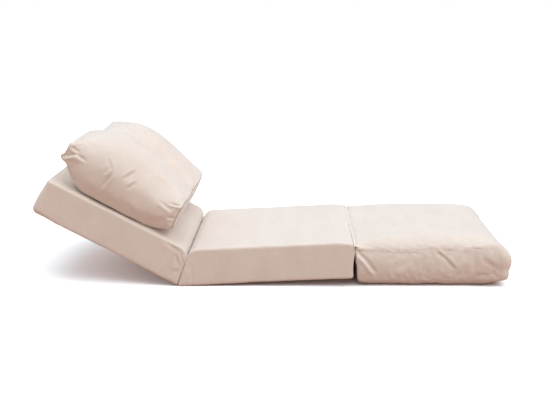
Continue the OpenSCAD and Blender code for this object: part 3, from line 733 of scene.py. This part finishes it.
# %% The rule of a pillow
def pillow_form(half_length, lean):
    """How far a point lies outside a pillow; lean tips it towards its neighbour."""
    def form(point):
        x, y, z = point
        t = np.clip(x / half_length, -1.05, 1.05)
        lift = UPPER_END_LIFT * ((t + 1) / 2) ** 2
        end = LOW_END + (HIGH_END - LOW_END) * (t + 1) / 2
        from_crest = np.abs(t - CREST) / (1 - np.sign(t - CREST) * CREST)
        top = end + (PILLOW_OVER - end) * (1 - from_crest ** 1.85)
        low = end + (PILLOW_UNDER + lift - end) * (1 - np.abs(t) ** 2.97)
        high = z - lift - lean * y
        power = np.where(high > 0, 2.4, 3.2) + 1.6 * np.abs(t) ** 6
        tall = np.where(high > 0, top, low)
        wide = PILLOW_HALF_WIDTH - 0.003 * np.abs(t) ** 3
        ring = ((np.abs(y) / wide) ** power + (np.abs(high) / tall) ** power) ** (1 / power) - 1
        tube = ring * np.minimum(wide, tall)
        panel = 0.003 * (1 - np.clip(high / tall, -1, 1) ** 2)
        ends = np.abs(x) - half_length - end_curve(x, y) - panel
        return np.maximum(round_edge(tube, ends, 0.004), PILLOW_PRESS - PILLOW_UNDER - z)
    return form


# %% Make a pillow
def make_pillow(name, side, lower_seam, upper_seam, lean, creases):
    """Side is 1 for the far pillow and -1 for the near one; seams are measured up the back."""
    wide = PILLOW_HALF_WIDTH
    half_length = (upper_seam - lower_seam) / 2
    bm = cut_block((-0.27, -wide - 0.01, -0.115), (0.27, wide + 0.01, 0.18), 0.0085)
    slide_to_form(bm, pillow_form(half_length, lean), (-0.17, -0.10, -0.02), (0.17, 0.10, 0.02))
    obj = new_piece(name, bm)
    points = points_of(obj)
    end_gap = np.abs(points[:, 0]) - half_length - end_curve(points[:, 0], points[:, 1])
    set_attribute(obj, "seam_distance", end_gap + 0.002)
    set_attribute(obj, "seam_along", points[:, 1] + points[:, 2])
    hold = np.exp(-(end_gap / 0.008) ** 2)
    inflate(obj, 0.05 + 0.9 * hold, 2.5, 0.014, 0.0045)
    subdivide_once(obj)
    dent_softly(obj, 0.07, 0.0030, attribute_of(obj, "seam_distance"))
    tug_corners(obj, half_length)
    lay_flat(obj, 0, half_length - 0.002, (half_length, 0, UPPER_END_LIFT), (0.02, 0.125, 0.017))
    press_creases(obj, creases)
    height = SLAB + 0.006 + PILLOW_UNDER - PILLOW_PRESS - 0.003 * (1 + side)
    place = Matrix.Translation(((lower_seam + upper_seam) / 2, side * (WIDTH / 4 + 0.002), height))
    obj.data.transform(back_frame @ place)
    obj.data.flip_normals()
    obj.data.materials.append(seamed_suede)
    hand = "left" if side > 0 else "right"
    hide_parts("pillow_cover_" + hand, "pillow_fill_" + hand)
    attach(obj, "pillow_" + hand)
    zip_shift = Vector((upper_seam - 0.002 - 0.5863, 0, height + UPPER_END_LIFT - 0.2676))
    place_zip("pillow_zip_" + hand, "pillow_" + hand, zip_shift)
    return obj


# %% The two pillows
left_pillow = make_pillow("pillow_pad_left", 1, 0.1090, 0.5620, 0.07, [
    ((-0.190, -0.172, 0.040), (-0.236, -0.172, 0.050), 0.0060, 0.0060),
    ((-0.080, -0.060, 0.125), (-0.150, -0.030, 0.105), 0.0030, 0.0100),
    ((0.100, 0.172, 0.060), (0.070, 0.176, 0.000), 0.0050, 0.0070),
    ((-0.050, 0.172, 0.050), (-0.020, 0.176, -0.010), 0.0050, 0.0070),
    ((0.160, 0.172, 0.040), (0.235, 0.172, 0.020), 0.0050, 0.0065),
    ((-0.170, 0.174, 0.000), (-0.230, 0.172, -0.030), 0.0050, 0.0070)])
right_pillow = make_pillow("pillow_pad_right", -1, 0.1143, 0.5908, 0.0, [
    ((0.076, -0.176, 0.022), (0.069, -0.172, 0.056), 0.0045, 0.0050),
    ((0.066, -0.173, 0.050), (0.086, -0.160, 0.082), 0.0045, 0.0050),
    ((0.064, -0.174, -0.036), (0.050, -0.174, 0.044), 0.0050, 0.0060),
    ((-0.024, -0.156, 0.088), (0.004, -0.175, 0.036), 0.0045, 0.0060),
    ((-0.044, -0.172, 0.050), (-0.024, -0.176, 0.012), 0.0040, 0.0060),
    ((-0.150, -0.175, 0.026), (-0.212, -0.174, 0.012), 0.0040, 0.0060),
    ((-0.188, -0.173, 0.038), (-0.238, -0.171, 0.050), 0.0075, 0.0055),
    ((-0.205, -0.174, -0.020), (-0.238, -0.172, -0.006), 0.0040, 0.0050),
    ((0.248, -0.172, 0.008), (0.200, -0.174, 0.044), 0.0060, 0.0055),
    ((0.208, -0.174, 0.042), (0.156, -0.174, 0.036), 0.0045, 0.0060),
    ((0.236, -0.170, 0.060), (0.195, -0.172, 0.052), 0.0050, 0.0055)])
for pillow in (left_pillow, right_pillow):
    print(pillow.name, len(pillow.data.vertices), "vertices")

# %% [markdown]
# ## The finish of what is left
#
# Every piece of the frame that no cushion replaces keeps its CAD shape, which already has
# its bends, teeth and rivet heads. It only needs the finish that its name calls for.

# %% Give the pieces left showing their finish
for name, node in frame["nodes"].items():
    if node.hide_render:
        continue
    if "zip" in name:
        finish = zip_tape
    elif "frame" in name or "tubes" in name or "socket" in name:
        finish = powder_coat
    else:
        finish = zinc_plate
    node.data.materials.clear()
    node.data.materials.append(finish)

# %% [markdown]
# ## The floor
#
# A product picture has a white floor that runs out of sight and keeps a soft shadow. More
# light would burn out the pale covers, so the floor's own colour does it: camera, glossy
# and transmitted rays see it white, and all other rays see a warm beige, which throws the
# warm light of the real studio's floor onto the sides of the sections.

# %% Rays that see the studio
def seen_rays(tree):
    """One for camera, glossy and transmitted rays, zero for the light that bounces."""
    path = add_node(tree, "ShaderNodeLightPath").outputs
    either = calculate(tree, "MAXIMUM", path["Is Camera Ray"], path["Is Glossy Ray"])
    return calculate(tree, "MAXIMUM", either, path["Is Transmission Ray"])

# %% Floor
FLOOR_SEEN = (1.32, 1.345, 1.37, 1)
FLOOR_BOUNCE = (0.55, 0.355, 0.28, 1)
bm = bmesh.new()
bmesh.ops.create_grid(bm, x_segments=1, y_segments=1, size=60.0)
floor = new_piece("floor", bm)
floor.data.transform(Matrix.Translation((0, 0, FLOOR_LEVEL)))
paint = bpy.data.materials.new("white floor")
paint.use_nodes = True
tree = paint.node_tree
shader = tree.nodes["Principled BSDF"]
shader.inputs["Roughness"].default_value = 1.0
shader.inputs["Specular IOR Level"].default_value = 0.0
seen = seen_rays(tree)
tree.links.new(blend_colours(tree, seen, FLOOR_BOUNCE, FLOOR_SEEN), shader.inputs["Base Color"])
floor.data.materials.append(paint)

# %% [markdown]
# ## Sky and lamps
#
# Two wide suns stand for the softboxes of a studio, one overhead and one at the foot end.
# The sky fills the shadows: pale above and behind, dark towards the camera, so that the
# sides facing it stay darker than the tops. Area lamps would do as well, but a sun with a
# wide angle lights all three sections alike.

# %% Sky
SKY_TOP = (0.82, 0.90, 0.955, 1)
HORIZON_FRONT, HORIZON_BEHIND = (0.16, 0.16, 0.165, 1), (1.05, 1.05, 1.06, 1)
world = bpy.data.worlds.new("studio")
bpy.context.scene.world = world
world.use_nodes = True
tree = world.node_tree
direction = add_node(tree, "ShaderNodeTexCoord").outputs["Generated"]
axes = add_node(tree, "ShaderNodeSeparateXYZ", {"Vector": direction}).outputs
height = calculate(tree, "MAXIMUM", axes["Z"], 0.0)
behind = calculate(tree, "MAXIMUM", axes["Y"], 0.0)
horizon = blend_colours(tree, behind, HORIZON_FRONT, HORIZON_BEHIND)
sky = blend_colours(tree, calculate(tree, "POWER", height, 0.7), horizon, SKY_TOP)
backdrop = blend_colours(tree, seen_rays(tree), sky, (1, 1, 1, 1))
tree.links.new(backdrop, tree.nodes["Background"].inputs["Color"])

# %% Lamps
def softbox(name, strength, angle, colour, turn):
    lamp = bpy.data.lights.new(name, "SUN")
    lamp.energy = strength
    lamp.angle = math.radians(angle)
    lamp.color = colour
    obj = bpy.data.objects.new(name, lamp)
    obj.rotation_euler = [math.radians(a) for a in turn]
    bpy.context.collection.objects.link(obj)


softbox("overhead softbox", 0.86, 45, (0.93, 0.96, 0.985), (10, 0, 0))
softbox("foot side softbox", 0.95, 40, (0.965, 0.955, 0.95), (0, 45, -35))

# %% [markdown]
# ## The camera
#
# The camera stands where the photograph was taken from: low, almost square to the chair's
# side, and far enough to see all of it. Its place and angles were found by fitting the
# corners of the three sections, so they are written as numbers.

# %% Camera
PHOTO_WIDTH = 550
FOCAL_PIXELS = 928.8
CAMERA_FROM_HINGE = (0.4197, -3.7742, 1.087)
yaw, pitch, roll = math.radians(-1.275), math.radians(12.742), math.radians(-0.111)
ahead = Vector((math.sin(yaw), math.cos(yaw), 0))
forward = ahead * math.cos(pitch) - Vector((0, 0, math.sin(pitch)))
level = Vector((math.cos(yaw), -math.sin(yaw), 0))
upright = level.cross(forward)
right = level * math.cos(roll) + upright * math.sin(roll)
up = upright * math.cos(roll) - level * math.sin(roll)
lens = bpy.data.cameras.new("camera")
lens.sensor_fit = "HORIZONTAL"
lens.sensor_width = 36.0
lens.lens = FOCAL_PIXELS / PHOTO_WIDTH * lens.sensor_width
camera = bpy.data.objects.new("camera", lens)
stand = Matrix.Translation(Vector((hinge_end.x, 0, 0)) + Vector(CAMERA_FROM_HINGE))
camera.matrix_world = stand @ Matrix((right, up, -forward)).transposed().to_4x4()
bpy.context.collection.objects.link(camera)
bpy.context.scene.camera = camera
bpy.context.scene.view_settings.view_transform = "Standard"
print("camera at", [round(v, 3) for v in camera.location])
